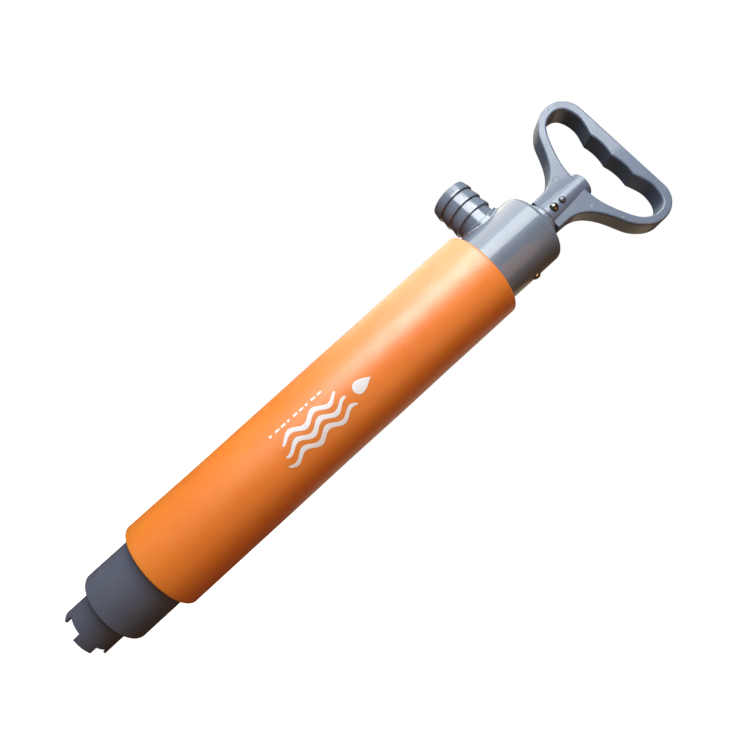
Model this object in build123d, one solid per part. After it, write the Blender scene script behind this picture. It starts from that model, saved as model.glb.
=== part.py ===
from build123d import *
import os
from math import cos, radians, sin

# Manual bilge pump, millimetres.  +Z runs up the pump's axis from the intake to the grip.
# The origin is on the axis, in the plane of the intake lugs' tips.  The outlet points along -X.

# ---------------------------------------------------------------- driving dimensions
# Barrel and stroke
barrel_bore = 46.0            # inside diameter of the barrel tube
barrel_wall = 2.0
stroke = 300.0                # travel of the plunger
seal_margin = 8.6             # barrel left above the piston at the top of the stroke

# Intake cap
spigot_diameter = 38.0        # outside of the intake spigot
spigot_wall = 3.5
spigot_length = 26.0          # lug tips to the cap's shoulder
lug_height = 5.5
lug_width_angle = 46.0        # degrees of arc
lug_thickness = 1.9
lug_edge_radius = 0.5
lug_first_angle = 30.0        # centre of the first of four lugs
cap_wall = 2.97               # of the intake cap and the head, round the barrel
cap_floor = 4.0
cap_length_shown = 41.0       # shoulder to the foam sleeve
cap_edge_radius = 1.0

# Foot valve
seat_thickness = 3.0
port_ledge = 2.0              # seat shown inside the mouth's bore, all round the port
shelf_width = 10.0            # from the mouth's wall to the port's straight side
flap_lap = 2.5                # flap beyond the port
flap_hinge_setback = 3.0      # hinge line, from the port's straight side
flap_thickness = 2.0
flap_side_angle = 210.0       # azimuth of the hinge side
retainer_length = 19.0
retainer_width = 4.0
retainer_height = 3.2
valve_rivet_radius = 1.2
valve_rivet_head_radius = 2.3
valve_rivet_head_height = 0.8
valve_rivet_margin = 0.25     # rivet heads inside the mouth's bore
foot_gap = 25.0               # valve seat to the underside of the piston

# Foam sleeve
foam_thickness = 9.2
sleeve_cover = 12.0           # how far each end of the sleeve runs over the cap and the head
sleeve_edge_radius = 2.6
foam_clearance = 0.3

# Head, outlet and gland
head_socket_depth = 20.0
head_top_wall = 5.0
head_shoulder_radius = 4.0
outlet_height = 17.4          # outlet axis above the barrel's top end
head_crown = 26.7             # outlet axis to the head's top face
spout_bore = 24.0
spout_wall = 2.5
spout_length = 33.9           # beyond the head's wall
spout_collar_step = 2.4       # collar proud of the root tube
spout_collar_rise = 2.8       # collar proud of the head's wall, all round
barb_height = 1.75            # barb's land above the root tube
barb_tip_height = 0.5
spout_edge_radius = 0.6
barb_pitch = 9.3
barb_last_length = 7.6
barb_land = 1.5
barb_groove = 1.0             # root shown between a barb's tip and the next one's land
barb_count = 3
gland_flange = 3.3            # flange proud of the neck
gland_height = 8.0
gland_step_height = 3.0
gland_step_depth = 0.9
gland_chamfer = 0.5
gland_neck_wall = 2.5
gland_neck_depth = 4.6        # neck below the head's top wall
gland_lip = 3.0
rod_seal_height = 4.0
bush_wall = 3.0
bush_recess = 0.5
gland_lip_clearance = 0.4

# Plunger
rod_diameter = 13.0
rod_bore = 9.0
piston_height = 12.0
piston_clearance = 0.4        # radial, piston body to barrel
seal_height = 5.4
seal_thickness = 3.4
seal_relief = 0.8             # depth of the band between the seal's two lips
seal_land = 1.3
hub_socket_depth = 8.0
piston_port_wall = 2.2
piston_port_count = 6
valve_disc_lap = 1.0          # disc beyond the ports
valve_disc_thickness = 2.0
valve_lift = 4.0
valve_stop_width = 5.5        # radial, beyond the rod
valve_stop_flange = 1.6
valve_stop_height = 5.8
spacer_wall = 2.5
stroke_end_gap = 0.5
piston_screw_head_radius = 6.0
piston_screw_head_height = 4.0
piston_screw_length = 24.0
piston_washer_width = 2.0     # radial, beyond the rod
piston_washer_thickness = 1.6

# Handle
handle_gap = 2.8              # gland to the handle's lower face
handle_turn = 5.7             # plane of the handle, turned from the outlet's axis
handle_height = 76.5
handle_half_width = 60.0
neck_half_width = 13.7
neck_straight = 7.0
grip_thickness = 18.6
web_thickness = 12.8
taper_height = 46.0           # the handle reaches its full thickness here
grip_bar = 9.4                # grip bar at the middle of a finger hollow
handle_end_radius = 18.3
handle_end_angle = -38.0      # where the flare meets the round end
rim_width = 7.0               # loop rim at its ends
loop_floor = 33.6             # underside of the hand loop above the handle's lower face
finger_ridge_radius = 1.5
handle_edge_radius = 1.4
bumper_width = 4.7            # radial, beyond the rod
boss_wall = 3.27
boss_edge_radius = 0.6
boss_fillet = 0.5             # between the boss and the web
boss_rise = 4.6               # boss above the floor of the hand loop
plug_rim = 1.9                # boss wall round the plug
plug_depth = 3.0
plug_crown = 0.5
plug_edge_radius = 0.4
screw_height = 6.7
screw_head_diameter = 6.6
screw_head_height = 2.1
rivet_height = 14.8
rivet_head_diameter = 5.4
rivet_head_height = 1.7
fixing_shank_radius = 1.5
fixing_reach = 1.0            # fastener past the rod's inner wall

# Wall fasteners
plug_screw_diameter = 7.5
plug_screw_crown = 2.1
plug_screw_shank_radius = 2.2
plug_screw_rise = 1.4         # above the outlet's axis
cap_screw_below_sleeve = 7.0
cap_screw_angle = 75.0
cap_screw_shank_radius = 1.6
cap_screw_head_diameter = 6.0
cap_screw_crown = 1.4

# Fits
glue_gap = 0.03               # radial, between parts that are cemented or pressed together
running_fit = 0.05            # radial, between parts that slide or turn on each other
valve_gap = 0.1               # a closed rubber valve above its seat
hinge_clearance = 0.3         # round the flap's rolled hinge edge

# ---------------------------------------------------------------- heights along the axis
cap_shoulder_z = spigot_length
seat_bottom_z = cap_shoulder_z + cap_floor
rivet_recess_z = seat_bottom_z + valve_rivet_head_height
barrel_bottom_z = seat_bottom_z + seat_thickness
barrel_length = foot_gap + piston_height + stroke + seal_margin
barrel_top_z = barrel_bottom_z + barrel_length
sleeve_bottom_z = cap_shoulder_z + cap_length_shown
cap_top_z = sleeve_bottom_z + sleeve_cover
head_bottom_z = barrel_top_z - head_socket_depth
sleeve_top_z = head_bottom_z + sleeve_cover
outlet_z = barrel_top_z + outlet_height
head_top_z = outlet_z + head_crown
cavity_top_z = head_top_z - head_top_wall
gland_bottom_z = cavity_top_z - gland_neck_depth
gland_top_z = head_top_z + gland_height
handle_z = gland_top_z + handle_gap
boss_height = loop_floor + boss_rise
boss_top_z = handle_z + boss_height
cap_screw_z = sleeve_bottom_z - cap_screw_below_sleeve
piston_z = barrel_bottom_z + foot_gap
piston_top_z = piston_z + piston_height
valve_stop_z = piston_top_z + valve_gap + valve_disc_thickness + valve_lift + valve_gap
spacer_bottom_z = valve_stop_z + valve_stop_height
spacer_top_z = gland_bottom_z - stroke - stroke_end_gap

# ---------------------------------------------------------------- radii shared by mating parts
bore_radius = barrel_bore / 2
barrel_radius = bore_radius + barrel_wall
socket_radius = barrel_radius + glue_gap
cap_radius = socket_radius + cap_wall
sleeve_radius = barrel_radius + foam_clearance + foam_thickness
spigot_radius = spigot_diameter / 2
mouth_radius = spigot_radius - spigot_wall
port_radius = mouth_radius - port_ledge
port_chord = mouth_radius - shelf_width
flap_radius = port_radius + flap_lap
flap_hinge_offset = port_chord + flap_hinge_setback
spout_root_radius = spout_bore / 2 + spout_wall
spout_reach = cap_radius + spout_length
rod_radius = rod_diameter / 2
rod_hole_radius = rod_radius + running_fit
rod_socket_radius = rod_radius + glue_gap
bush_radius = rod_radius + bush_wall
gland_neck_radius = bush_radius + gland_neck_wall
spacer_radius = rod_socket_radius + spacer_wall
boss_radius = rod_socket_radius + boss_wall
plug_radius = boss_radius - plug_rim
piston_radius = bore_radius - piston_clearance
seal_outer_radius = bore_radius - running_fit
seal_inner_radius = seal_outer_radius - seal_thickness
groove_radius = seal_inner_radius - running_fit
port_circle = (groove_radius + rod_socket_radius) / 2
piston_port_radius = (groove_radius - rod_socket_radius) / 2 - piston_port_wall
valve_disc_radius = port_circle + piston_port_radius + valve_disc_lap
hinge_z = barrel_bottom_z + valve_gap + flap_thickness / 2
fixing_hole_radius = fixing_shank_radius + glue_gap

ON_BASE = (Align.CENTER, Align.CENTER, Align.MIN)


def disc(radius, low, high):
    """A solid cylinder on the pump's axis between two heights."""
    return Pos(0, 0, low) * Cylinder(radius, high - low, align=ON_BASE)


def ring(outer, inner, low, high):
    """A plain ring on the pump's axis between two heights."""
    return disc(outer, low, high) - disc(inner, low, high)


def turned(points):
    """The solid of revolution of a closed (radius, height) outline."""
    return revolve(make_face(Plane.XZ * Polyline(*points, close=True)), Axis.Z)


def radial(angle, height):
    """A location whose local +Z points out from the pump's axis at this azimuth and height."""
    return Pos(0, 0, height) * Rot(0, 0, angle) * Rot(0, 90, 0)


def post(radius, start, end):
    """A cylinder along local +Z from start to end."""
    return Pos(0, 0, start) * Cylinder(radius, end - start, align=ON_BASE)


def rounded_end(shape, radius):
    """Round the edge of a solid of revolution at its local top."""
    return fillet(shape.edges().filter_by(GeomType.CIRCLE).sort_by(Axis.Z)[-1], radius)


def domed_head(diameter, crown, start):
    """A low domed head: a cap of a sphere whose flat face is at start."""
    half = diameter / 2
    ball = (half * half + crown * crown) / (2 * crown)
    whole = Pos(0, 0, start + crown - ball) * Sphere(ball)
    return whole & post(half, start, start + crown)


# ---------------------------------------------------------------- barrel and its ends
def barrel_tube():
    return ring(barrel_radius, bore_radius, barrel_bottom_z, barrel_top_z)


def foam_sleeve():
    """A thick foam tube with a stepped bore that clears the cap and the head at its ends."""
    sleeve = disc(sleeve_radius, sleeve_bottom_z, sleeve_top_z)
    sleeve = fillet(sleeve.edges().filter_by(GeomType.CIRCLE), sleeve_edge_radius)
    end_bore = cap_radius + foam_clearance
    sleeve -= disc(barrel_radius + foam_clearance, sleeve_bottom_z, sleeve_top_z)
    sleeve -= disc(end_bore, sleeve_bottom_z, cap_top_z + foam_clearance)
    sleeve -= disc(end_bore, head_bottom_z - foam_clearance, sleeve_top_z)
    return sleeve


def intake_cap():
    """Cap with a socket for the barrel, a floor for the valve seat and a lugged spigot."""
    skirt = disc(cap_radius, cap_shoulder_z, cap_top_z)
    skirt = fillet(skirt.edges().filter_by(GeomType.CIRCLE).sort_by(Axis.Z)[0], cap_edge_radius)
    cap = skirt + disc(spigot_radius, lug_height, cap_shoulder_z)
    lug_ring = ring(spigot_radius, spigot_radius - lug_thickness, 0, lug_height)
    half = radians(lug_width_angle / 2)
    reach = 2 * spigot_radius
    corners = [(0, 0), (reach * cos(half), -reach * sin(half)), (reach * cos(half), reach * sin(half))]
    sector = extrude(make_face(Polyline(*corners, close=True)), lug_height)
    for index in range(4):
        cap += lug_ring & Rot(0, 0, lug_first_angle + 90 * index) * sector
    cap -= disc(mouth_radius, 0, seat_bottom_z)
    cap = fillet(cap.edges().filter_by(lambda edge: edge.center().Z < 0.01), lug_edge_radius)
    cap -= disc(socket_radius, seat_bottom_z, cap_top_z)
    hole = post(cap_screw_shank_radius + glue_gap, 0, cap_radius)
    return cap - radial(cap_screw_angle, cap_screw_z) * hole


# ---------------------------------------------------------------- foot valve
def on_flap_side(shape):
    """Turn a shape drawn with its hinge side towards -Y so that it faces flap_side_angle."""
    return Rot(0, 0, flap_side_angle + 90) * shape


def half_plane(edge, low, high):
    """A block that fills y > edge between two heights."""
    size = 4 * barrel_radius
    return Pos(0, edge, low) * Box(size, size, high - low, align=(Align.CENTER, Align.MIN, Align.MIN))


def rivet_places():
    """Two places behind the hinge, as far apart as the mouth's bore lets the heads be."""
    y = -flap_hinge_offset - flap_thickness / 2 - hinge_clearance - retainer_width / 2
    reach = mouth_radius - valve_rivet_head_radius - valve_rivet_margin
    x = (reach * reach - y * y) ** 0.5
    return [(-x, y), (x, y)]


def foot_valve_seat():
    """Round plate on the cap's floor with a D-shaped port and two counterbored rivet holes."""
    seat = disc(socket_radius - glue_gap, seat_bottom_z, barrel_bottom_z)
    port = disc(port_radius, seat_bottom_z, barrel_bottom_z)
    seat -= on_flap_side(port & half_plane(-port_chord, seat_bottom_z, barrel_bottom_z))
    for x, y in rivet_places():
        hole = disc(valve_rivet_radius + glue_gap, seat_bottom_z, barrel_bottom_z)
        hole += disc(valve_rivet_head_radius + glue_gap, seat_bottom_z, rivet_recess_z)
        seat -= on_flap_side(Pos(x, y, 0) * hole)
    return seat


def foot_valve_flap():
    """D-shaped rubber flap; its straight side is rounded about the hinge line."""
    low = barrel_bottom_z + valve_gap
    high = low + flap_thickness
    flap = disc(flap_radius, low, high) & half_plane(-flap_hinge_offset, low, high)
    chord = 2 * (flap_radius**2 - flap_hinge_offset**2) ** 0.5
    roll = Pos(0, -flap_hinge_offset, hinge_z) * Rot(0, 90, 0) * Cylinder(flap_thickness / 2, chord)
    return on_flap_side(flap + roll)


def foot_valve_retainer():
    """Strip behind the flap's hinge line, riveted to the seat."""
    place = rivet_places()
    strip = Pos(0, place[0][1], barrel_bottom_z) * Box(
        retainer_length, retainer_width, retainer_height, align=ON_BASE
    )
    for x, y in place:
        strip -= Pos(x, y, barrel_bottom_z) * post(valve_rivet_radius + glue_gap, 0, retainer_height)
    return on_flap_side(strip)


def foot_valve_rivets():
    """Two rivets with a head sunk in the seat's shelf and one on the strip."""
    top = barrel_bottom_z + retainer_height
    high = top + valve_rivet_head_height
    rivets = []
    for x, y in rivet_places():
        rivet = disc(valve_rivet_radius, seat_bottom_z, high)
        rivet += disc(valve_rivet_head_radius, seat_bottom_z, rivet_recess_z)
        rivet += disc(valve_rivet_head_radius, top, high)
        rivets.append(on_flap_side(Pos(x, y, 0) * rivet))
    return Compound(children=rivets)


# ---------------------------------------------------------------- head, outlet and gland
def head_body():
    """Domed-shoulder head cemented over the barrel, bored for the outlet and the gland."""
    head = rounded_end(disc(cap_radius, head_bottom_z, head_top_z), head_shoulder_radius)
    head -= disc(socket_radius, head_bottom_z, barrel_top_z)
    head -= disc(bore_radius, barrel_top_z, cavity_top_z)
    head -= disc(gland_neck_radius + glue_gap, cavity_top_z, head_top_z)
    head -= radial(180, outlet_z) * post(spout_root_radius + glue_gap, 0, 2 * cap_radius)
    hole = post(plug_screw_shank_radius + glue_gap, 0, 2 * cap_radius)
    return head - radial(0, outlet_z + plug_screw_rise) * hole


def outlet_spout():
    """Barbed hose spout with a saddle collar that sits on the head."""
    root = spout_root_radius
    barb = root + barb_height
    first = spout_reach - barb_last_length - (barb_count - 1) * barb_pitch
    outline = [(0, 0), (root, 0)]
    for index in range(barb_count):
        start = first + index * barb_pitch
        outline += [(root, start), (barb, start), (barb, start + barb_land)]
        if index < barb_count - 1:
            end = start + barb_pitch - barb_groove
            outline += [(root + barb_tip_height, end), (root, end)]
    outline += [(root + barb_tip_height, spout_reach), (0, spout_reach)]
    spout = rounded_end(turned(outline), spout_edge_radius)
    collar = radial(180, outlet_z) * post(root + spout_collar_step, 0, spout_reach)
    collar = collar & disc(cap_radius + spout_collar_rise, head_bottom_z, head_top_z)
    rim = collar.edges().filter_by(lambda edge: edge.center().X < -cap_radius / 2)
    spout = radial(180, outlet_z) * spout + fillet(rim, spout_edge_radius)
    head_outside = disc(cap_radius + glue_gap, head_bottom_z, head_top_z)
    stem = radial(180, outlet_z) * post(root, 0, 2 * cap_radius) & head_outside
    stem -= disc(bore_radius + glue_gap, head_bottom_z, head_top_z)
    spout = (spout - head_outside) + stem
    return spout - radial(180, outlet_z) * post(spout_bore / 2, 0, spout_reach)


def wall_screw(head_diameter, crown, wall_radius, shank_radius, shank_end):
    """A domed screw along local +Z, its head seated on a round wall that runs along local X."""
    head = post(head_diameter / 2, 0, wall_radius) + domed_head(head_diameter, crown, wall_radius)
    head -= Rot(0, 90, 0) * Cylinder(wall_radius + glue_gap, 2 * head_diameter)
    return head + post(shank_radius, shank_end, wall_radius + crown / 2)


def head_plug_screw():
    """Domed screw plug in the head's wall, opposite the outlet."""
    shank_end = bore_radius + glue_gap
    screw = wall_screw(
        plug_screw_diameter, plug_screw_crown, cap_radius, plug_screw_shank_radius, shank_end
    )
    return radial(0, outlet_z + plug_screw_rise) * screw


def cap_screw():
    """Small domed screw that locks the intake cap to the barrel."""
    shank_end = socket_radius
    screw = wall_screw(
        cap_screw_head_diameter, cap_screw_crown, cap_radius, cap_screw_shank_radius, shank_end
    )
    return radial(cap_screw_angle, cap_screw_z) * screw


def gland_collar():
    """Stepped collar with a neck through the head's top wall; it holds the seal and the bush."""
    outer = gland_neck_radius + gland_flange
    step_z = gland_top_z - gland_step_height
    pocket_z = gland_bottom_z + gland_lip
    lip_hole = rod_radius + gland_lip_clearance
    outline = [
        (lip_hole, gland_bottom_z),
        (gland_neck_radius, gland_bottom_z),
        (gland_neck_radius, head_top_z),
        (outer, head_top_z),
        (outer, step_z - gland_chamfer),
        (outer - gland_chamfer, step_z),
        (outer - gland_step_depth, step_z),
        (outer - gland_step_depth, gland_top_z - gland_chamfer),
        (outer - gland_step_depth - gland_chamfer, gland_top_z),
        (bush_radius, gland_top_z),
        (bush_radius, pocket_z),
        (lip_hole, pocket_z),
    ]
    return turned(outline)


def rod_seal():
    """Rubber lip seal with a V groove that faces the barrel."""
    low = gland_bottom_z + gland_lip
    high = low + rod_seal_height
    outer = bush_radius - glue_gap
    middle = (outer + rod_hole_radius) / 2
    groove = (outer - rod_hole_radius) / 4
    outline = [
        (rod_hole_radius, low),
        (middle - groove, low),
        (middle, low + rod_seal_height / 2),
        (middle + groove, low),
        (outer, low),
        (outer, high),
        (rod_hole_radius, high),
    ]
    return turned(outline)


def gland_bush():
    """Plain bush that guides the rod above the seal."""
    low = gland_bottom_z + gland_lip + rod_seal_height
    return ring(bush_radius - glue_gap, rod_hole_radius, low, gland_top_z - bush_recess)


# ---------------------------------------------------------------- plunger
def pump_rod():
    """Tube from the piston's hub to the top of the handle's boss."""
    rod = ring(rod_radius, rod_bore / 2, piston_top_z - hub_socket_depth, boss_top_z - plug_depth)
    for height in (screw_height, rivet_height):
        rod -= on_handle(radial(-90, handle_z + height) * post(fixing_hole_radius, 0, rod_diameter))
    return rod


def piston_body():
    """Round piston with a ring of ports, a seal groove and a socket for the rod."""
    groove_low = piston_z + (piston_height - seal_height) / 2
    piston = disc(piston_radius, piston_z, piston_top_z)
    piston -= ring(bore_radius, groove_radius, groove_low, groove_low + seal_height)
    for index in range(piston_port_count):
        place = Rot(0, 0, 360 * index / piston_port_count) * Pos(port_circle, 0, 0)
        piston -= place * disc(piston_port_radius, piston_z, piston_top_z)
    piston -= disc(rod_socket_radius, piston_top_z - hub_socket_depth, piston_top_z)
    return piston - disc(rod_bore / 2, piston_z, piston_top_z)


def piston_seal():
    """Rubber ring in the piston's groove, free to slip round as the plunger turns."""
    low = piston_z + (piston_height - seal_height) / 2 + running_fit
    high = low + seal_height - 2 * running_fit
    seal = ring(seal_outer_radius, seal_inner_radius, low, high)
    relief = ring(bore_radius, seal_outer_radius - seal_relief, low + seal_land, high - seal_land)
    return seal - relief


def piston_valve_disc():
    """Rubber disc that covers the piston's ports and lifts along the rod."""
    low = piston_top_z + valve_gap
    return ring(valve_disc_radius, rod_hole_radius, low, low + valve_disc_thickness)


def valve_stop():
    """Flanged collar pressed on the rod; it limits the valve disc's lift."""
    stop = disc(rod_radius + valve_stop_width, valve_stop_z, valve_stop_z + valve_stop_flange)
    stop += disc(spacer_radius, valve_stop_z, spacer_bottom_z)
    return stop - disc(rod_socket_radius, valve_stop_z, spacer_bottom_z)


def stroke_spacer():
    """Tube on the rod that meets the gland just after the end of the stroke."""
    return ring(spacer_radius, rod_socket_radius, spacer_bottom_z, spacer_top_z)


def piston_screw():
    """Hexagon-socket screw from below, through the piston into the rod."""
    head_top = piston_z - piston_washer_thickness
    head_low = head_top - piston_screw_head_height
    screw = disc(piston_screw_head_radius, head_low, head_top)
    screw += disc(rod_bore / 2 - glue_gap, head_top, head_top + piston_screw_length)
    depth = piston_screw_head_height / 2
    socket = extrude(RegularPolygon(piston_screw_head_radius / 2, 6), depth)
    return screw - Pos(0, 0, head_low) * socket


def piston_washer():
    low = piston_z - piston_washer_thickness
    return ring(rod_radius + piston_washer_width, rod_bore / 2, low, piston_z)


def handle_bumper():
    """Rubber washer under the handle that lands on the gland."""
    return ring(rod_socket_radius + bumper_width, rod_socket_radius, gland_top_z + valve_gap, handle_z)


# ---------------------------------------------------------------- handle
def on_handle(shape):
    """Turn a shape drawn in the XZ plane into the handle's own plane."""
    return Rot(0, 0, handle_turn) * shape


def both_halves(right):
    """A face from the right half of a symmetric outline that starts and ends on the axis."""
    left = [mirror(edge, Plane.YZ) for edge in right]
    return Plane.XZ * make_face(right + left)


def handle_outline():
    """Neck, flared shoulders and round ends; the flare is in shares of its width and height."""
    middle = (handle_half_width - handle_end_radius, handle_height - handle_end_radius)

    def on_end(angle):
        """A point of the round end, by its angle above the horizontal."""
        x = middle[0] + handle_end_radius * cos(radians(angle))
        return (x, middle[1] + handle_end_radius * sin(radians(angle)))

    start = (neck_half_width, neck_straight)
    meet = on_end(handle_end_angle)
    width = meet[0] - start[0]
    rise = meet[1] - start[1]
    shares = [(0.141, 0.39), (0.425, 0.61), (0.7, 0.742)]
    flare = [(start[0] + width * x, start[1] + rise * z) for x, z in shares]
    away = (-sin(radians(handle_end_angle)), cos(radians(handle_end_angle)))
    right = [
        Line((0, 0), (neck_half_width, 0)),
        Line((neck_half_width, 0), start),
        Spline(start, *flare, meet, tangents=[(0, 1), away]),
        ThreePointArc(meet, on_end(handle_end_angle / 2 + 45), on_end(90)),
        Line(on_end(90), (0, handle_height)),
    ]
    return both_halves(right)


def hand_loop():
    """The hand opening, with two finger hollows a side, in shares of its half width and height."""
    half_width = handle_half_width - rim_width
    height = handle_height - grip_bar - loop_floor
    rim = [
        (0, 0),
        (0.333, 0.036),
        (0.715, 0.236),
        (0.958, 0.501),
        (1.0, 0.713),
        (0.967, 0.928),
        (0.75, 1.081),
        (0.404, 0.967),
    ]
    rim = [(half_width * x, loop_floor + height * z) for x, z in rim]
    hollow_middle = (0.221 * half_width, loop_floor + height)
    ridge = (0, loop_floor + 0.946 * height)
    right = [
        Spline(*rim, tangents=[(1, 0), (-1, -0.35)]),
        ThreePointArc(rim[-1], hollow_middle, ridge),
    ]
    return both_halves(right)


def is_finger_ridge(edge):
    """Whether an edge across the handle is one of the ridges between the finger hollows."""
    point = edge.center()
    return abs(point.X) < handle_half_width / 2 and point.Z > (loop_floor + handle_height) / 2


def on_handle_face(edge):
    """Whether an edge lies along the outline of the handle's front or back face."""
    for share in (0.1, 0.4, 0.6, 0.9):
        point = edge @ share
        thickness = web_thickness + (grip_thickness - web_thickness) * min(point.Z / taper_height, 1)
        if abs(abs(point.Y) - thickness / 2) > 0.01:
            return False
    return abs((edge @ 0.1).Z - (edge @ 0.9).Z) > 0.01 or edge.center().Z > taper_height + 1


def beside_boss(edge):
    """Whether an edge is one of the four long corners between the boss and the web."""
    points = [edge @ share for share in (0.1, 0.5, 0.9)]
    off_boss = [abs(Vector(point.X, point.Y, 0).length - boss_radius) for point in points]
    return abs(points[0].Z - points[2].Z) > loop_floor / 2 and max(off_boss) < 0.01


def handle():
    """Loop handle whose web thins towards a round boss for the rod."""
    half_grip = grip_thickness / 2
    half_web = web_thickness / 2
    front = Pos(0, half_grip, 0)
    plate = extrude(front * handle_outline(), grip_thickness)
    plate -= extrude(front * hand_loop(), grip_thickness)
    ridges = plate.edges().filter_by(Axis.Y).filter_by(lambda edge: is_finger_ridge(edge))
    plate = fillet(ridges, finger_ridge_radius)
    side = [(half_web, 0), (half_grip, taper_height), (half_grip, handle_height)]
    profile = side + [(-y, z) for y, z in reversed(side)]
    wedge = extrude(make_face(Plane.YZ * Polyline(*profile, close=True)), handle_half_width, both=True)
    grip = plate & wedge
    grip = fillet(grip.edges().filter_by(lambda edge: on_handle_face(edge)), handle_edge_radius)
    grip += rounded_end(disc(boss_radius, 0, boss_height), boss_edge_radius)
    grip = fillet(grip.edges().filter_by(lambda edge: beside_boss(edge)), boss_fillet)
    grip -= disc(rod_socket_radius, 0, boss_height)
    grip -= disc(plug_radius, boss_height - plug_depth, boss_height)
    for height in (screw_height, rivet_height):
        grip -= radial(-90, height) * post(fixing_hole_radius, 0, 2 * boss_radius)
    return on_handle(Pos(0, 0, handle_z) * grip)


def rod_end_plug():
    """Round plug pressed into the top of the handle's boss."""
    plug = disc(plug_radius - glue_gap, boss_top_z - plug_depth, boss_top_z + plug_crown)
    return rounded_end(plug, plug_edge_radius)


def handle_fixing(height, head_diameter, head_height):
    """A domed fastener through the boss's front wall into the rod."""
    shank_end = rod_bore / 2 - fixing_reach
    screw = wall_screw(head_diameter, head_height, boss_radius, fixing_shank_radius, shank_end)
    return on_handle(radial(-90, handle_z + height) * screw)


def handle_screw():
    return handle_fixing(screw_height, screw_head_diameter, screw_head_height)


def handle_rivet():
    return handle_fixing(rivet_height, rivet_head_diameter, rivet_head_height)


# ---------------------------------------------------------------- files
SUBPARTS = [
    barrel_tube,
    foam_sleeve,
    intake_cap,
    cap_screw,
    foot_valve_seat,
    foot_valve_flap,
    foot_valve_retainer,
    foot_valve_rivets,
    head_body,
    outlet_spout,
    head_plug_screw,
    gland_collar,
    rod_seal,
    gland_bush,
    pump_rod,
    piston_body,
    piston_seal,
    piston_valve_disc,
    valve_stop,
    stroke_spacer,
    piston_screw,
    piston_washer,
    handle_bumper,
    handle,
    rod_end_plug,
    handle_screw,
    handle_rivet,
]

os.makedirs("parts", exist_ok=True)
for make in SUBPARTS:
    export_step(make(), "parts/" + make.__name__ + ".step")
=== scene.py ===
import math

import bpy
import numpy as np
from mathutils import Matrix, Vector


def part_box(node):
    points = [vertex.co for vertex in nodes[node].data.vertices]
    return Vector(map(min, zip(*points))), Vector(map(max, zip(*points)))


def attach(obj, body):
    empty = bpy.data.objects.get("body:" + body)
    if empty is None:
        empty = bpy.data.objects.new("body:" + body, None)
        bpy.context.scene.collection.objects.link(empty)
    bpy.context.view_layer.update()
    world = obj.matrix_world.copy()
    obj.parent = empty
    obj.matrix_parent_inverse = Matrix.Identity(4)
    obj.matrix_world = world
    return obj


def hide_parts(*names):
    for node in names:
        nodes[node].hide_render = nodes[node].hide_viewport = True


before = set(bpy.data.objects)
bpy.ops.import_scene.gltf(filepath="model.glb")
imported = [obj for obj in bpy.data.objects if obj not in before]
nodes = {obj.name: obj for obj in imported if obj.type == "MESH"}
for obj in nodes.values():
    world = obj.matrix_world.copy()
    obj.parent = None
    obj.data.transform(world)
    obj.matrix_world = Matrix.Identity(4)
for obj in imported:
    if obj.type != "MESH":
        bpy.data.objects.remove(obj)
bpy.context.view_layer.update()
mm = 0.001

# ---------------------------------------------------------------------------------- camera
# A short lens close to the pump, level with the middle of the sleeve and rolled so that
# the pump's axis runs up to the right across the square picture.
camera_azimuth = math.radians(-75.5)
camera_distance = 0.4230
camera_height = 0.2309
camera_aim = Vector((0.0, 0.0074, 0.2638))
camera_roll = math.radians(47.84)
camera_place = Vector((
    camera_distance * math.cos(camera_azimuth),
    camera_distance * math.sin(camera_azimuth),
    camera_height,
))
camera_data = bpy.data.cameras.new("camera")
camera_data.lens = 28.5
camera_data.sensor_width = 36.0
camera_data.clip_start = 0.01
camera_data.clip_end = 60.0
camera = bpy.data.objects.new("camera", camera_data)
bpy.context.scene.collection.objects.link(camera)
look = (camera_aim - camera_place).to_track_quat("-Z", "Y").to_matrix().to_4x4()
camera.matrix_world = Matrix.Translation(camera_place) @ look @ Matrix.Rotation(camera_roll, 4, "Z")
bpy.context.scene.camera = camera


# ---------------------------------------------------------------------------------- studio
# A white floor that runs into a white sky and is clear from below. To the pump the floor is
# a brown bench top and the sky is dim, pale on the outlet's side and brown on the other.
# Soft boxes on the outlet's side light it, and weak warm ones fill the rest.
def put(tree, kind, inputs=(), **settings):
    """Add a node. An input is linked if it is given a socket and set if it is given a value."""
    node = tree.nodes.new(kind)
    for name, value in settings.items():
        setattr(node, name, value)
    for name, value in dict(inputs).items():
        if isinstance(value, bpy.types.NodeSocket):
            tree.links.new(value, node.inputs[name])
        else:
            node.inputs[name].default_value = value
    return node


def two_looks(tree, seen, unseen, output):
    """Show one shader to the camera and another to every other ray."""
    ray = put(tree, "ShaderNodeLightPath")
    mix = put(tree, "ShaderNodeMixShader", {0: ray.outputs["Is Camera Ray"], 1: unseen, 2: seen})
    tree.links.new(mix.outputs[0], output.inputs["Surface"])


floor_size = 12.0
floor_glow = 0.97
bench_brown = (0.085, 0.062, 0.045, 1)
floor_paint = bpy.data.materials.new("floor_paint")
floor_paint.use_nodes = True
floor_tree = floor_paint.node_tree
floor_tree.nodes.remove(floor_tree.nodes["Principled BSDF"])
floor_light = put(floor_tree, "ShaderNodeEmission", {"Color": (1, 1, 1, 1), "Strength": floor_glow})
floor_matt = put(floor_tree, "ShaderNodeBsdfDiffuse", {"Color": (0.9, 0.9, 0.9, 1)})
floor_top = put(floor_tree, "ShaderNodeAddShader", {0: floor_light.outputs[0], 1: floor_matt.outputs[0]})
floor_clear = put(floor_tree, "ShaderNodeBsdfTransparent")
from_below = put(floor_tree, "ShaderNodeNewGeometry").outputs["Backfacing"]
floor_seen = put(floor_tree, "ShaderNodeMixShader", {
    0: from_below, 1: floor_top.outputs[0], 2: floor_clear.outputs[0]})
floor_felt = put(floor_tree, "ShaderNodeBsdfDiffuse", {"Color": bench_brown})
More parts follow.
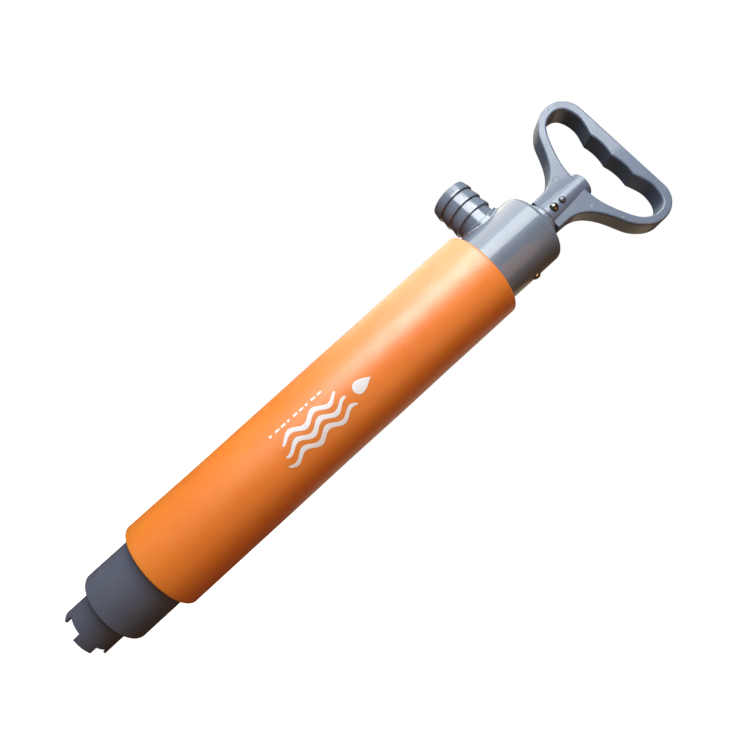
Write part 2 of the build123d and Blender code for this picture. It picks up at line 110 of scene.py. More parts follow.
two_looks(floor_tree, floor_seen.outputs[0], floor_felt.outputs[0], floor_tree.nodes["Material Output"])
floor_mesh = bpy.data.meshes.new("studio_floor")
half_floor = floor_size / 2
floor_mesh.from_pydata(
    [(-half_floor, -half_floor, 0), (half_floor, -half_floor, 0),
     (half_floor, half_floor, 0), (-half_floor, half_floor, 0)],
    [], [(0, 1, 2, 3)])
floor_mesh.materials.append(floor_paint)
studio_floor = bpy.data.objects.new("studio_floor", floor_mesh)
bpy.context.scene.collection.objects.link(studio_floor)

sky = bpy.data.worlds.new("studio_sky")
sky.use_nodes = True
sky_direction = put(sky.node_tree, "ShaderNodeTexCoord").outputs["Generated"]
sky_side = put(sky.node_tree, "ShaderNodeSeparateXYZ", {0: sky_direction}).outputs["X"]
sky_share = put(sky.node_tree, "ShaderNodeMapRange", {"Value": sky_side, "From Min": -0.5, "From Max": 0.4})
sky_pale = (1.0, 0.93, 0.82, 1)
sky_brown = (0.50, 0.25, 0.11, 1)
sky_tone = put(sky.node_tree, "ShaderNodeMix", {
    0: sky_share.outputs[0], 6: sky_pale, 7: sky_brown}, data_type="RGBA")
sky_felt = put(sky.node_tree, "ShaderNodeBackground", {"Color": sky_tone.outputs[2], "Strength": 0.15})
sky_seen = put(sky.node_tree, "ShaderNodeBackground", {"Color": (1, 1, 1, 1), "Strength": 1.0})
sky.node_tree.nodes.remove(sky.node_tree.nodes["Background"])
two_looks(sky.node_tree, sky_seen.outputs[0], sky_felt.outputs[0], sky.node_tree.nodes["World Output"])
bpy.context.scene.world = sky
bpy.context.scene.view_settings.view_transform = "Standard"


def soft_box(name, azimuth, distance, height, size, power, colour, aim_height):
    """A rectangular lamp at a place round the pump's axis that faces a point on the axis."""
    lamp = bpy.data.lights.new(name, "AREA")
    lamp.shape = "RECTANGLE"
    lamp.size, lamp.size_y = size
    lamp.energy = power
    lamp.color = colour
    thing = bpy.data.objects.new(name, lamp)
    bpy.context.scene.collection.objects.link(thing)
    angle = math.radians(azimuth)
    place = Vector((distance * math.cos(angle), distance * math.sin(angle), height))
    aim = Vector((0, 0, aim_height)) - place
    thing.matrix_world = Matrix.Translation(place) @ aim.to_track_quat("-Z", "Y").to_matrix().to_4x4()


soft_box("key_box", -116, 0.76, 0.66, (0.56, 0.76), 10.6, (0.93, 0.98, 1.0), 0.44)
soft_box("side_box", -163, 0.66, 0.66, (0.60, 0.60), 3.1, (1.0, 0.98, 0.92), 0.40)
soft_box("rim_box", 152, 0.72, 0.60, (0.50, 0.60), 2.0, (1.0, 0.95, 0.80), 0.34)
soft_box("warm_fill", -34, 1.30, 0.36, (1.00, 1.20), 5.0, (1.0, 0.50, 0.22), 0.26)
soft_box("warm_card", 68, 0.95, 0.30, (0.80, 0.90), 1.0, (1.0, 0.84, 0.60), 0.28)


# ---------------------------------------------------------------------------------- shell
# The barrel, intake cap, head, outlet and gland are grey ABS with a glossy moulded skin: a
# little flow mottle, a fine grain and light rubs. The cap and the valve's seat get the grey
# made darker, as painted shade for the dim foot of the pump.
def new_group(name, inputs, outputs):
    """An empty shader node group, with its tree, its input sockets and its output node."""
    tree = bpy.data.node_groups.new(name, "ShaderNodeTree")
    kinds = {"vector": "NodeSocketVector", "colour": "NodeSocketColor", "value": "NodeSocketFloat"}
    for socket, kind in inputs.items():
        tree.interface.new_socket(socket, in_out="INPUT", socket_type=kinds[kind])
    for socket, kind in outputs.items():
        tree.interface.new_socket(socket, in_out="OUTPUT", socket_type=kinds[kind])
    return tree, tree.nodes.new("NodeGroupInput").outputs, tree.nodes.new("NodeGroupOutput").inputs


def calc(tree, operation, *values):
    """One Math node over sockets and plain values."""
    return put(tree, "ShaderNodeMath", dict(enumerate(values)), operation=operation).outputs[0]


def fade(tree, value, start, end, low=0.0, high=1.0):
    """A smooth step of value from low at start to high at end."""
    ends = {"Value": value, "From Min": start, "From Max": end, "To Min": low, "To Max": high}
    return put(tree, "ShaderNodeMapRange", ends, interpolation_type="SMOOTHSTEP").outputs[0]


def blotch(tree, place, scale, detail=2.0, stretch=None):
    """A noise between 0 and 1; stretch scales the place first, to draw the noise out."""
    if stretch:
        place = put(tree, "ShaderNodeMapping", {"Vector": place, "Scale": stretch}).outputs[0]
    return put(tree, "ShaderNodeTexNoise", {"Vector": place, "Scale": scale, "Detail": detail}).outputs[0]


def tint(tree, share, first, second):
    """A colour share of the way from first to second."""
    return put(tree, "ShaderNodeMix", {0: share, 6: first, 7: second}, data_type="RGBA").outputs[2]


# Moulded skin: cloudy mottle between two tones, grain and ripple for the bump, and rubs
# that lighten and dull it in patches.
moulded_skin, given, result = new_group(
    "moulded_skin",
    {"Place": "vector", "Tone": "colour", "Deep Tone": "colour", "Rub Tone": "colour", "Rubs": "value",
     "Smooth": "value", "Rough": "value"},
    {"Colour": "colour", "Roughness": "value", "Height": "value"})
mottle = fade(moulded_skin, blotch(moulded_skin, given["Place"], 26.0, 4.0), 0.34, 0.68)
ripple = blotch(moulded_skin, given["Place"], 210.0, 2.0)
grain = blotch(moulded_skin, given["Place"], 2600.0, 1.0)
streak = blotch(moulded_skin, given["Place"], 900.0, 2.0, (1.0, 1.0, 0.07))
patch = blotch(moulded_skin, given["Place"], 46.0, 3.0)
rub = calc(moulded_skin, "MULTIPLY", fade(moulded_skin, streak, 0.60, 0.72),
           fade(moulded_skin, patch, 0.56, 0.70))
rub = calc(moulded_skin, "MULTIPLY", rub, given["Rubs"])
plain = tint(moulded_skin, mottle, given["Tone"], given["Deep Tone"])
worn = tint(moulded_skin, rub, plain, given["Rub Tone"])
dull = calc(moulded_skin, "ADD", fade(moulded_skin, patch, 0.30, 0.70), rub)
spread = calc(moulded_skin, "SUBTRACT", given["Rough"], given["Smooth"])
gloss = calc(moulded_skin, "MULTIPLY_ADD", dull, spread, given["Smooth"])
relief = calc(moulded_skin, "MULTIPLY_ADD", grain, 0.06, calc(moulded_skin, "MULTIPLY", ripple, 0.5))
relief = calc(moulded_skin, "MULTIPLY_ADD", rub, -0.5, relief)
moulded_skin.links.new(worn, result["Colour"])
moulded_skin.links.new(gloss, result["Roughness"])
moulded_skin.links.new(relief, result["Height"])

# Edge polish: a normal rounded over sharp corners, and a mask of the corners themselves.
edge_polish, given, result = new_group(
    "edge_polish", {"Place": "vector"}, {"Normal": "vector", "Corner": "value"})
rounded = put(edge_polish, "ShaderNodeBevel", {"Radius": 0.35 * mm}, samples=6).outputs[0]
facing = put(edge_polish, "ShaderNodeNewGeometry").outputs["Normal"]
bend = put(edge_polish, "ShaderNodeVectorMath", {0: rounded, 1: facing}, operation="DOT_PRODUCT")
chips = fade(edge_polish, blotch(edge_polish, given["Place"], 320.0, 3.0), 0.40, 0.62)
corner = calc(edge_polish, "MULTIPLY", fade(edge_polish, bend.outputs["Value"], 0.985, 0.90), chips)
edge_polish.links.new(rounded, result["Normal"])
edge_polish.links.new(corner, result["Corner"])

# Parting line: a fine raised flash where the two halves of a mould met.
parting_line, given, result = new_group(
    "parting_line", {"Across": "value", "Half Width": "value"}, {"Height": "value"})
flash = fade(parting_line, calc(parting_line, "ABSOLUTE", given["Across"]), given["Half Width"], 0.0)
parting_line.links.new(flash, result["Height"])


def new_finish(name):
    """A material, its tree, its Principled shader and the place of each point on the piece."""
    finish = bpy.data.materials.new(name)
    finish.use_nodes = True
    tree = finish.node_tree
    place = put(tree, "ShaderNodeTexCoord").outputs["Object"]
    return finish, tree, tree.nodes["Principled BSDF"], place


def use_group(tree, group, inputs):
    """Place a shader node group with its own values and return its outputs."""
    return put(tree, "ShaderNodeGroup", inputs, node_tree=group).outputs


seam_half_width = 0.16 * mm
seam_height = 1.4
corner_wear = 0.35


def plastic(name, tone, deep, rub_tone, rubs=0.5, smooth=0.24, rough=0.40, gloss=0.65, seam_axis=None,
            depth=0.035 * mm):
    """Moulded plastic: gloss is the weight of its clear surface, depth the height of its relief,
    and seam_axis the coordinate that is zero on its parting plane."""
    finish, tree, shader, place = new_finish(name)
    edge = use_group(tree, edge_polish, {"Place": place})
    skin = use_group(tree, moulded_skin, {
        "Place": place, "Tone": (*tone, 1), "Deep Tone": (*deep, 1), "Rub Tone": (*rub_tone, 1),
        "Rubs": rubs, "Smooth": smooth, "Rough": rough})
    height = skin["Height"]
    if seam_axis:
        split = put(tree, "ShaderNodeSeparateXYZ", {0: place}).outputs[seam_axis]
        seam = use_group(tree, parting_line, {"Across": split, "Half Width": seam_half_width})["Height"]
        height = calc(tree, "MULTIPLY_ADD", seam, seam_height, height)
    worn = calc(tree, "MULTIPLY", edge["Corner"], corner_wear)
    tree.links.new(tint(tree, worn, skin["Colour"], (*rub_tone, 1)), shader.inputs["Base Color"])
    tree.links.new(skin["Roughness"], shader.inputs["Roughness"])
    bump = put(tree, "ShaderNodeBump", {
        "Height": height, "Distance": depth, "Strength": 0.6, "Normal": edge["Normal"]})
    tree.links.new(bump.outputs[0], shader.inputs["Normal"])
    shader.inputs["IOR"].default_value = 1.54
    shader.inputs["Coat Weight"].default_value = gloss
    shader.inputs["Coat Roughness"].default_value = 0.06
    return finish


def paint(finish, *names):
    """Give CAD nodes a finish."""
    for name in names:
        slots = nodes[name].data.materials
        slots.clear()
        slots.append(finish)


shell_tone = (0.157, 0.196, 0.262)
shell_deep = (0.139, 0.173, 0.234)
rub_tone = (0.42, 0.46, 0.54)
shell_finish = plastic("shell_abs", shell_tone, shell_deep, rub_tone)
outlet_finish = plastic("outlet_abs", shell_tone, shell_deep, rub_tone, rubs=0.3, smooth=0.18, rough=0.30,
                        gloss=1.0, seam_axis="Y", depth=0.02 * mm)
# Painted shade: the cap's tones are the shell's grey made darker for the dim foot of the pump.
cap_shaded_tone = (0.100, 0.116, 0.164)
cap_shaded_deep = (0.083, 0.096, 0.138)
cap_shaded_rub_tone = (0.30, 0.33, 0.40)
cap_shaded_finish = plastic("cap_abs_shaded", cap_shaded_tone, cap_shaded_deep, cap_shaded_rub_tone, smooth=0.32, rough=0.50, gloss=0.5)
paint(shell_finish, "barrel_tube", "head_body", "gland_collar")
paint(outlet_finish, "outlet_spout")
paint(cap_shaded_finish, "intake_cap", "foot_valve_seat")

# ---------------------------------------------------------------------------------- cement
# The outlet is cemented into the head. The cement squeezed out into the corner round its
# collar and set there as a glossy bead of uneven thickness.
spout_low, spout_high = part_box("outlet_spout")
head_low, head_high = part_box("head_body")
head_radius = head_high.x
outlet_z = (spout_low.z + spout_high.z) / 2
collar_radius = (spout_high.y - spout_low.y) / 2
bead_radius = 0.85 * mm
bead_sway = 0.12 * mm
bead_out = 0.45
bead_off = 0.30
bead_rows = 240
bead_sides = 14


def grid_faces(rows, columns, wrap_rows, wrap_columns):
    """Quads of a rows x columns grid of points; a wrapped direction joins its end to its start."""
    down = np.arange(rows if wrap_rows else rows - 1)[:, None]
    over = np.arange(columns if wrap_columns else columns - 1)[None, :]
    next_down = (down + 1) % rows
    next_over = (over + 1) % columns
    corners = [down * columns + over, down * columns + next_over,
               next_down * columns + next_over, next_down * columns + over]
    return np.stack([np.broadcast_to(c, corners[2].shape) for c in corners], axis=-1).reshape(-1, 4)


def new_piece(name, points, faces, finish, smooth=True):
    """A mesh object in place, from an array of points and an array of quads."""
    mesh = bpy.data.meshes.new(name)
    mesh.vertices.add(len(points))
    mesh.vertices.foreach_set("co", np.ascontiguousarray(points, dtype=np.float32).ravel())
    mesh.loops.add(faces.size)
    mesh.loops.foreach_set("vertex_index", faces.ravel().astype(np.int32))
    mesh.polygons.add(len(faces))
    mesh.polygons.foreach_set("loop_start", (np.arange(len(faces)) * 4).astype(np.int32))
    mesh.polygons.foreach_set("loop_total", np.full(len(faces), 4, np.int32))
    mesh.polygons.foreach_set("use_smooth", np.full(len(faces), smooth, bool))
    mesh.update(calc_edges=True)
    mesh.validate()
    mesh.materials.append(finish)
    piece = bpy.data.objects.new(name, mesh)
    bpy.context.scene.collection.objects.link(piece)
    return piece


def bead_points():
    """A tube round the outlet collar. Its centre line runs round the collar at angle a, a share
    bead_out of the tube's radius outside the collar and a share bead_off of it off the head's
    cylinder, and sways in and out by one sine wave of a. The tube's radius swells and shrinks
    by five sine waves of a."""
    a = np.linspace(0, 2 * math.pi, bead_rows, endpoint=False)[:, None]
    b = np.linspace(0, 2 * math.pi, bead_sides, endpoint=False)[None, :]
    swell = (0.16 * np.sin(2 * a + 0.7) + 0.12 * np.sin(5 * a + 2.1) + 0.10 * np.sin(9 * a + 4.0)
             + 0.07 * np.sin(17 * a + 1.2) + 0.05 * np.sin(29 * a + 3.3))
    size = bead_radius * (1 + swell)
    reach = collar_radius + bead_out * bead_radius
    out = reach + bead_sway * np.sin(7 * a + 0.4) + size * np.cos(b)
    y = out * np.cos(a)
    z = outlet_z + out * np.sin(a)
    wall = np.sqrt(head_radius ** 2 - (reach * np.cos(a)) ** 2)
    x = -(wall + bead_off * bead_radius + size * np.sin(b))
    return np.stack([x + 0 * y, y, z], axis=-1).reshape(-1, 3)


cement_tone = (0.30, 0.33, 0.40, 1)
cement_pale = (0.40, 0.43, 0.50, 1)
cement_finish, tree, shader, place = new_finish("set_cement")
cloud = fade(tree, blotch(tree, place, 300.0, 3.0), 0.35, 0.65)
tree.links.new(tint(tree, cloud, cement_tone, cement_pale), shader.inputs["Base Color"])
tree.links.new(fade(tree, cloud, 0.0, 1.0, 0.10, 0.24), shader.inputs["Roughness"])
bump = put(tree, "ShaderNodeBump", {"Height": blotch(tree, place, 700.0, 2.0), "Distance": 0.12 * mm})
tree.links.new(bump.outputs[0], shader.inputs["Normal"])
shader.inputs["Coat Weight"].default_value = 0.5
shader.inputs["Coat Roughness"].default_value = 0.08
cement_bead = new_piece(
    "cement_bead", bead_points(), grid_faces(bead_rows, bead_sides, True, True), cement_finish)
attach(cement_bead, "barrel")


# ---------------------------------------------------------------------------------- rubber
# The foot valve's flap, the piston's seal and valve disc, and the rod seal are
# black nitrile rubber with a fine matt bloom. The bumper under the handle is a grey grade.
def rubber(name, tone):
    """Matt rubber: a dark tone with a cloudy grey bloom and a fine pebbled grain."""
    finish, tree, shader, place = new_finish(name)
    bloom = fade(tree, blotch(tree, place, 120.0, 4.0), 0.42, 0.72)
    pale = tuple(min(1.0, 2.2 * part + 0.012) for part in tone)
    tree.links.new(tint(tree, bloom, (*tone, 1), (*pale, 1)), shader.inputs["Base Color"])
    tree.links.new(fade(tree, bloom, 0.0, 1.0, 0.42, 0.66), shader.inputs["Roughness"])
    grain = put(tree, "ShaderNodeTexVoronoi", {"Vector": place, "Scale": 1800.0}).outputs["Distance"]
    bump = put(tree, "ShaderNodeBump", {"Height": grain, "Distance": 0.04 * mm, "Strength": 0.5})
    tree.links.new(bump.outputs[0], shader.inputs["Normal"])
    shader.inputs["IOR"].default_value = 1.52
    return finish


paint(rubber("black_rubber", (0.016, 0.017, 0.020)),
      "foot_valve_flap", "piston_seal", "piston_valve_disc", "rod_seal")
paint(rubber("grey_rubber", (0.075, 0.083, 0.105)), "handle_bumper")


# ---------------------------------------------------------------------------------- metal
# Screws, the valve's retainer and its rivets are stainless steel with turned rings on each
# head. The handle's screw is steel with a darkened tone, painted shade for the dark
# surroundings it reflects, and its rivet is dull plated steel.
def turned_metal(name, tone, smooth, rough, ring_scale, tarnish):
    """Turned metal: fine rings about the piece's own axis, faint tarnish and rounded corners."""
    finish, tree, shader, place = new_finish(name)
    edge = use_group(tree, edge_polish, {"Place": place})
    rings = blotch(tree, place, ring_scale, 3.0, (1.0, 1.0, 0.2))
    stain = fade(tree, blotch(tree, place, 380.0, 4.0), 0.45, 0.70, 0.0, tarnish)
    dark = tuple(0.45 * part for part in tone)
    tree.links.new(tint(tree, stain, (*tone, 1), (*dark, 1)), shader.inputs["Base Color"])
    spread = calc(tree, "MULTIPLY_ADD", rings, 0.5 * (rough - smooth), smooth)
    tree.links.new(calc(tree, "MULTIPLY_ADD", stain, rough - smooth, spread), shader.inputs["Roughness"])
    bump = put(tree, "ShaderNodeBump", {
        "Height": rings, "Distance": 0.02 * mm, "Strength": 0.5, "Normal": edge["Normal"]})
    tree.links.new(bump.outputs[0], shader.inputs["Normal"])
    shader.inputs["Metallic"].default_value = 1.0
    return finish


bright_steel = turned_metal("stainless_steel", (0.62, 0.60, 0.55), 0.12, 0.30, 900.0, 0.6)
# Painted shade: the handle screw's steel is darkened to stand in for the dark surroundings it reflects.
shade_darkened_steel = turned_metal("shade_darkened_steel", (0.23, 0.23, 0.215), 0.10, 0.24, 900.0, 0.6)
dull_steel = turned_metal("dull_plating", (0.20, 0.215, 0.24), 0.42, 0.60, 900.0, 0.8)
paint(bright_steel, "foot_valve_retainer", "foot_valve_rivets", "cap_screw", "head_plug_screw",
      "piston_screw", "piston_washer")
paint(shade_darkened_steel, "handle_screw")
paint(dull_steel, "handle_rivet")

# ---------------------------------------------------------------------------------- plunger
# The rod is a drawn grey tube with fine lines along it. The piston, its stop, the spacer
# and the gland's bush are white acetal, turned and slightly waxy.
rod_finish, tree, shader, place = new_finish("drawn_tube")
skin = use_group(tree, moulded_skin, {
    "Place": place, "Tone": (*shell_tone, 1), "Deep Tone": (*shell_deep, 1), "Rub Tone": (*rub_tone, 1),
    "Rubs": 0.8, "Smooth": 0.22, "Rough": 0.38})
edge = use_group(tree, edge_polish, {"Place": place})
draw_lines = blotch(tree, place, 1500.0, 2.0, (1.0, 1.0, 0.01))
bump = put(tree, "ShaderNodeBump", {
    "Height": calc(tree, "ADD", draw_lines, skin["Height"]), "Distance": 0.03 * mm, "Strength": 0.6,
    "Normal": edge["Normal"]})
tree.links.new(skin["Colour"], shader.inputs["Base Color"])
tree.links.new(skin["Roughness"], shader.inputs["Roughness"])
tree.links.new(bump.outputs[0], shader.inputs["Normal"])
paint(rod_finish, "pump_rod")

acetal = plastic("white_acetal", (0.78, 0.77, 0.72), (0.70, 0.69, 0.64), (0.60, 0.59, 0.55),
                 rubs=0.3, smooth=0.30, rough=0.46, depth=0.03 * mm)
acetal.node_tree.nodes["Principled BSDF"].inputs["Subsurface Weight"].default_value = 0.15
acetal.node_tree.nodes["Principled BSDF"].inputs["Subsurface Scale"].default_value = 1.0 * mm
paint(acetal, "gland_bush", "piston_body", "valve_stop", "stroke_spacer")

# ---------------------------------------------------------------------------------- sleeve
# A thick tube of closed-cell foam with a smooth orange skin. It floats the pump and is the
# hand's hold on the barrel; its ends are cut square and soften over the cap and the head.
sleeve_low, sleeve_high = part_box("foam_sleeve")
cap_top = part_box("intake_cap")[1].z
barrel_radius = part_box("barrel_tube")[1].x
sleeve_radius = sleeve_high.x
sleeve_clear = 0.3 * mm
still_wall = 4 * mm
top_round = 2.2 * mm
foot_round = 0.9 * mm
lip_round = 0.8 * mm
sleeve_columns = 256


def sleeve_wander(angle, height):
    """How far the foam's skin stands off a true cylinder: three slow sine waves of the angle and
    the height, less a little, so that few crests pass the true radius."""
    return (0.10 * mm * np.sin(2 * angle + 21 * height) + 0.07 * mm * np.sin(3 * angle - 47 * height + 1.0)
            + 0.05 * mm * np.sin(71 * height + 2 * angle + 2.0) - 0.05 * mm)


def arc(middle_r, middle_z, radius, start, end, count):
    """Points of a circular arc in the (radius, height) plane, with angles in degrees."""
    turn = np.radians(np.linspace(start, end, count))
    return np.stack([middle_r + radius * np.cos(turn), middle_z + radius * np.sin(turn)], axis=-1)


def sleeve_profile():
    """The closed outline of the foam's wall, anticlockwise in (radius, height): up the skin,
    round the top edge, into the end bore, down the stepped bore and out round the bottom."""
    outer, low, high = sleeve_radius, sleeve_low.z, sleeve_high.z
    end_bore = head_high.x + sleeve_clear
    bore = barrel_radius + sleeve_clear
    lower_step = cap_top + sleeve_clear
    upper_step = head_low.z - sleeve_clear
    skin_z = np.linspace(low + foot_round, high - top_round, 121)[1:-1]
    skin = np.stack([np.full_like(skin_z, outer), skin_z], axis=-1)
    return np.concatenate([
        skin,
        arc(outer - top_round, high - top_round, top_round, 0, 90, 13),
        arc(end_bore + lip_round, high - lip_round, lip_round, 90, 180, 7),
        [(end_bore, upper_step), (bore, upper_step), (bore, lower_step), (end_bore, lower_step)],
        arc(end_bore + lip_round, low + lip_round, lip_round, 180, 270, 7),
        arc(outer - foot_round, low + foot_round, foot_round, -90, 0, 13),
    ])


def sleeve_points():
    """The profile turned about the axis. A point wanders with the skin in proportion to how far
    out it lies between still_wall from the barrel, where nothing moves, and the skin."""
    profile = sleeve_profile()
    angle = np.linspace(0, 2 * math.pi, sleeve_columns, endpoint=False)[None, :]
    radius, height = profile[:, :1], profile[:, 1:]
    still_radius = barrel_radius + still_wall
    share = np.clip((radius - still_radius) / (sleeve_radius - still_radius), 0, 1)
    out = radius + share * sleeve_wander(angle, height)
    points = np.stack([out * np.cos(angle), out * np.sin(angle), height + 0 * angle], axis=-1)
    return points.reshape(-1, 3), grid_faces(len(profile), sleeve_columns, True, True)


# Foam skin: a smooth skin over fine cells that show as shallow dimples, with slow swells,
# clouds of a darker tone and a few cells that broke open. The dimples and the open cells
# are also tinted darker, as painted shade in their hollows.
foam_skin, given, result = new_group(
    "foam_skin", {"Place": "vector", "Tone": "colour", "Deep Tone": "colour"},
    {"Colour": "colour", "Roughness": "value", "Height": "value"})
clouds = fade(foam_skin, blotch(foam_skin, given["Place"], 17.0, 3.0), 0.32, 0.70)
cells = put(foam_skin, "ShaderNodeTexVoronoi", {"Vector": given["Place"], "Scale": 1150.0})
cell_dip = fade(foam_skin, cells.outputs["Distance"], 0.10, 0.62)
open_cells = fade(foam_skin, blotch(foam_skin, given["Place"], 640.0, 2.0), 0.70, 0.80)
swells = blotch(foam_skin, given["Place"], 90.0, 2.0)
# Painted shade: each cell's dimple is tinted towards the darker tone.
dimple_shade = calc(foam_skin, "MULTIPLY", calc(foam_skin, "SUBTRACT", 1.0, cell_dip), 0.10)
clouds_and_pit_shade = calc(foam_skin, "ADD", calc(foam_skin, "MULTIPLY", clouds, 0.7), dimple_shade)
# Painted shade: the sunken open cells are tinted darker too.
clouds_and_pit_shade = calc(foam_skin, "MULTIPLY_ADD", open_cells, 0.35, clouds_and_pit_shade)
foam_skin.links.new(tint(foam_skin, clouds_and_pit_shade, given["Tone"], given["Deep Tone"]), result["Colour"])
foam_skin.links.new(fade(foam_skin, swells, 0.3, 0.7, 0.48, 0.58), result["Roughness"])
relief = calc(foam_skin, "MULTIPLY_ADD", cell_dip, 0.35, swells)
foam_skin.links.new(calc(foam_skin, "MULTIPLY_ADD", open_cells, -0.8, relief), result["Height"])

foam_tone = (0.95, 0.250, 0.008, 1)
foam_deep = (0.88, 0.215, 0.006, 1)
foam_finish, tree, shader, place = new_finish("orange_foam")
skin = use_group(tree, foam_skin, {"Place": place, "Tone": foam_tone, "Deep Tone": foam_deep})
bump = put(tree, "ShaderNodeBump", {"Height": skin["Height"], "Distance": 0.07 * mm, "Strength": 0.5})
tree.links.new(skin["Colour"], shader.inputs["Base Color"])
tree.links.new(skin["Roughness"], shader.inputs["Roughness"])
tree.links.new(bump.outputs[0], shader.inputs["Normal"])
shader.inputs["IOR"].default_value = 1.60
shader.inputs["Specular IOR Level"].default_value = 0.9
shader.inputs["Coat Weight"].default_value = 0.8
shader.inputs["Coat Roughness"].default_value = 0.37
shader.inputs["Subsurface Weight"].default_value = 0.45
shader.inputs["Subsurface Radius"].default_value = (1.0, 0.22, 0.05)
shader.inputs["Subsurface Scale"].default_value = 9.0 * mm

foam_sleeve = new_piece("sleeve_foam", *sleeve_points(), foam_finish)
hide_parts("foam_sleeve")
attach(foam_sleeve, "barrel")

# ---------------------------------------------------------------------------------- print
# The mark is screen printed on the foam in white ink, six hundredths of a millimetre thick:
# three waves under a water drop, and a broken rule beside them.
ink_depth = 0.06 * mm
mark_angle = math.radians(-75.5)


def ink_patch(name, height, middle, half_width, finish):
    """Ink laid on the sleeve. At each height it covers middle plus or minus half_width of arc
    (metres from mark_angle); its top stands ink_depth off the skin and its underside as deep
    in it, and the two layers meet along the rim."""
    across = np.array([-1, -0.8, -0.4, 0, 0.4, 0.8, 1, 0.8, 0.4, 0, -0.4, -0.8])
    layer = np.array([0, 1, 1, 1, 1, 1, 0, -1, -1, -1, -1, -1])
    arc_length = middle[:, None] + half_width[:, None] * across[None, :]
    angle = mark_angle + arc_length / sleeve_radius
    tall = height[:, None] + 0 * angle
    radius = sleeve_radius + sleeve_wander(angle, tall) + ink_depth * layer[None, :]
    points = np.stack([radius * np.cos(angle), radius * np.sin(angle), tall], axis=-1).reshape(-1, 3)
    rows, columns = angle.shape
    faces = grid_faces(rows, columns, False, True)
    caps = np.array([[0, 11, 10, 1], [1, 10, 9, 2], [2, 9, 8, 3], [3, 8, 7, 4], [4, 7, 6, 5]])
    last = caps[:, ::-1] + (rows - 1) * columns
    piece = new_piece(name, points, np.concatenate([faces, caps, last]), finish, smooth=False)
    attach(piece, "barrel")
    return piece


ink_tone = (0.86, 0.86, 0.90, 1)
ink_thin_tone = (0.82, 0.62, 0.50, 1)
ink_finish, tree, shader, place = new_finish("white_ink")
thin = fade(tree, blotch(tree, place, 420.0, 4.0), 0.60, 0.78)
tree.links.new(tint(tree, thin, ink_tone, ink_thin_tone), shader.inputs["Base Color"])
tree.links.new(fade(tree, thin, 0.0, 1.0, 0.40, 0.55), shader.inputs["Roughness"])
bump = put(tree, "ShaderNodeBump", {
    "Height": blotch(tree, place, 900.0, 2.0), "Distance": 0.04 * mm, "Strength": 0.5})
tree.links.new(bump.outputs[0], shader.inputs["Normal"])

# Each wave's middle is a sine of its height. Its width follows a power of the half circle,
# so that it is even along its length and round at its ends.
wave_low = 179 * mm
wave_high = 240 * mm
wave_length = 20.5 * mm
wave_swing = 2.3 * mm
wave_half_width = 1.9 * mm
wave_tip = 0.03 * mm
wave_first = 8.6 * mm
wave_spacing = 7.4 * mm
wave_inset = 3.0 * mm
run = np.linspace(0, 1, 161)
for index in range(3):
    inset = wave_inset * index
    height = wave_low + inset + (wave_high - wave_low - 2 * inset) * run
    swing = wave_swing * np.sin(2 * math.pi * (height - wave_low) / wave_length)
    middle = wave_first - wave_spacing * index + swing
    half_width = wave_half_width * np.sqrt(np.clip(4 * run * (1 - run), 0, 1)) ** 0.6 + wave_tip
    ink_patch(f"print_wave_{index + 1}", height, middle, half_width, ink_finish)

# The drop's outline is a circle's, with its width drawn in towards the top.
drop_low = 243 * mm
drop_high = 258 * mm
drop_half_width = 6.4 * mm
drop_middle = 0.5 * mm
drop_tip = 0.02 * mm
turn = np.linspace(0.02, math.pi - 0.02, 61)
drop_z = (drop_low + drop_high) / 2 - (drop_high - drop_low) / 2 * np.cos(turn)
drop_half = drop_half_width * np.sin(turn) * np.sin((math.pi - turn) / 2) ** 1.4 + drop_tip
ink_patch("print_drop", drop_z, np.full_like(turn, drop_middle), drop_half, ink_finish)

# Every third dash of the rule is short.
dash_count = 9
dash_first = 182 * mm
dash_step = 5.2 * mm
dash_long = 3.6 * mm
dash_short = 2.0 * mm
dash_middle = -14.6 * mm
dash_half_width = 0.75 * mm
for index in range(dash_count):
    dash_low = dash_first + index * dash_step
    dash_high = dash_low + (dash_long if index % 3 else dash_short)
    dash_z = np.linspace(dash_low, dash_high, 9)
    middle = np.full_like(dash_z, dash_middle)
    ink_patch(f"print_dash_{index + 1}", dash_z, middle, np.full_like(dash_z, dash_half_width), ink_finish)

# ---------------------------------------------------------------------------------- handle
# The loop handle and its plug are one ABS moulding each, a shade bluer than the shell. The
# web carries a round ejector mark beside the boss, and the loop has small rubs from use.
handle_turn = math.radians(5.7)
handle_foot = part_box("handle")[0].z
ejector_place = (-14.3 * mm, 23.6 * mm)
ejector_radius = 2.6 * mm
ejector_rim = 0.35 * mm
ejector_height = 10.0
dimple_places = [(-53.6 * mm, 65.3 * mm), (-56.6 * mm, 57.9 * mm)]
dimple_radius = 0.9 * mm
dimple_slope = 0.7 * mm
dimple_depth = 10.0
scuffs = [
    (18.1 * mm, 28.0 * mm, 2.4 * mm),
    (2.3 * mm, 74.2 * mm, 1.6 * mm),
    (38.9 * mm, 37.7 * mm, 1.4 * mm),
]

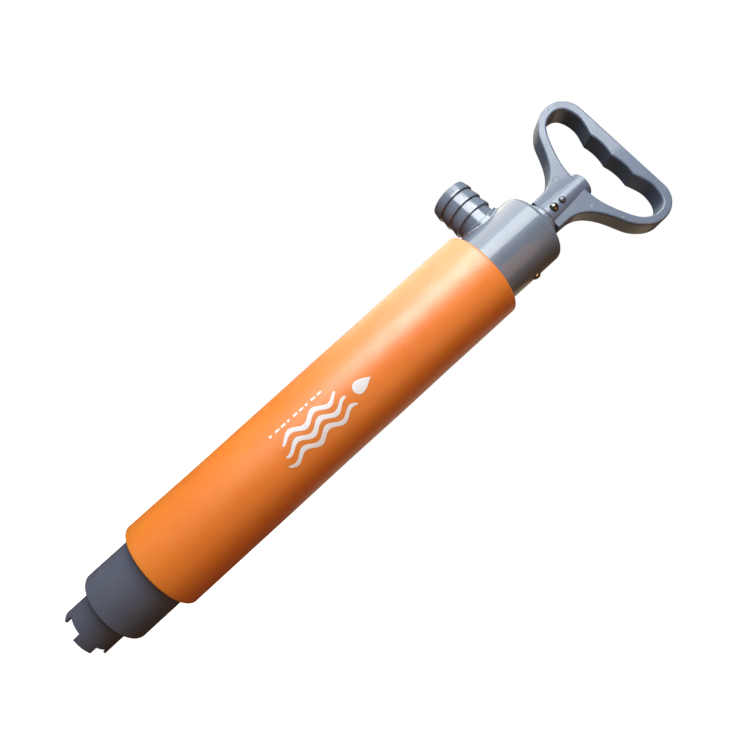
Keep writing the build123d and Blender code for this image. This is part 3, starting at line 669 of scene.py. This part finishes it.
# Spot: how far inside a round place of the handle's own plane a point is, front side only.
spot, given, result = new_group(
    "spot", {"Place": "vector", "Middle": "vector", "Radius": "value", "Blur": "value"},
    {"Disc": "value", "Ring": "value"})
level = put(spot, "ShaderNodeVectorMath", {0: given["Place"], 1: (1.0, 0.0, 1.0)}, operation="MULTIPLY")
away = put(spot, "ShaderNodeVectorMath", {0: level.outputs[0], 1: given["Middle"]}, operation="DISTANCE")
inside = calc(spot, "SUBTRACT", given["Radius"], away.outputs["Value"])
side = put(spot, "ShaderNodeSeparateXYZ", {0: given["Place"]}).outputs["Y"]
front = fade(spot, side, -2.0 * mm, -4.0 * mm)
disc_mask = fade(spot, inside, 0.0, given["Blur"])
ring_mask = fade(spot, calc(spot, "ABSOLUTE", inside), given["Blur"], 0.0)
spot.links.new(calc(spot, "MULTIPLY", disc_mask, front), result["Disc"])
spot.links.new(calc(spot, "MULTIPLY", ring_mask, front), result["Ring"])

handle_tone = (0.134, 0.172, 0.251)
handle_deep = (0.121, 0.155, 0.231)
handle_finish = plastic("handle_abs", handle_tone, handle_deep, rub_tone, rubs=0.35, smooth=0.30, rough=0.48,
                        gloss=0.45)
tree = handle_finish.node_tree
shader = tree.nodes["Principled BSDF"]
place = tree.nodes["Texture Coordinate"].outputs["Object"]
plane_place = put(tree, "ShaderNodeMapping", {
    "Vector": place, "Location": (0.0, 0.0, -handle_foot), "Rotation": (0.0, 0.0, -handle_turn)}).outputs[0]
marks = use_group(tree, spot, {
    "Place": plane_place, "Middle": (ejector_place[0], 0.0, ejector_place[1]), "Radius": ejector_radius,
    "Blur": ejector_rim})
bump = shader.inputs["Normal"].links[0].from_node
relief = bump.inputs["Height"].links[0].from_socket
relief = calc(tree, "MULTIPLY_ADD", marks["Ring"], ejector_height, relief)
for x, z in dimple_places:
    dimple = use_group(tree, spot, {
        "Place": plane_place, "Middle": (x, 0.0, z), "Radius": dimple_radius, "Blur": dimple_slope})
    relief = calc(tree, "MULTIPLY_ADD", dimple["Disc"], -dimple_depth, relief)
tree.links.new(relief, bump.inputs["Height"])
colour = shader.inputs["Base Color"].links[0].from_socket
crumbs = fade(tree, blotch(tree, place, 800.0, 3.0), 0.50, 0.62)
for x, z, size in scuffs:
    scuff = use_group(tree, spot, {
        "Place": plane_place, "Middle": (x, 0.0, z), "Radius": size, "Blur": size})
    colour = tint(tree, calc(tree, "MULTIPLY", scuff["Disc"], crumbs), colour, (*rub_tone, 1))
tree.links.new(colour, shader.inputs["Base Color"])
paint(handle_finish, "handle", "rod_end_plug")
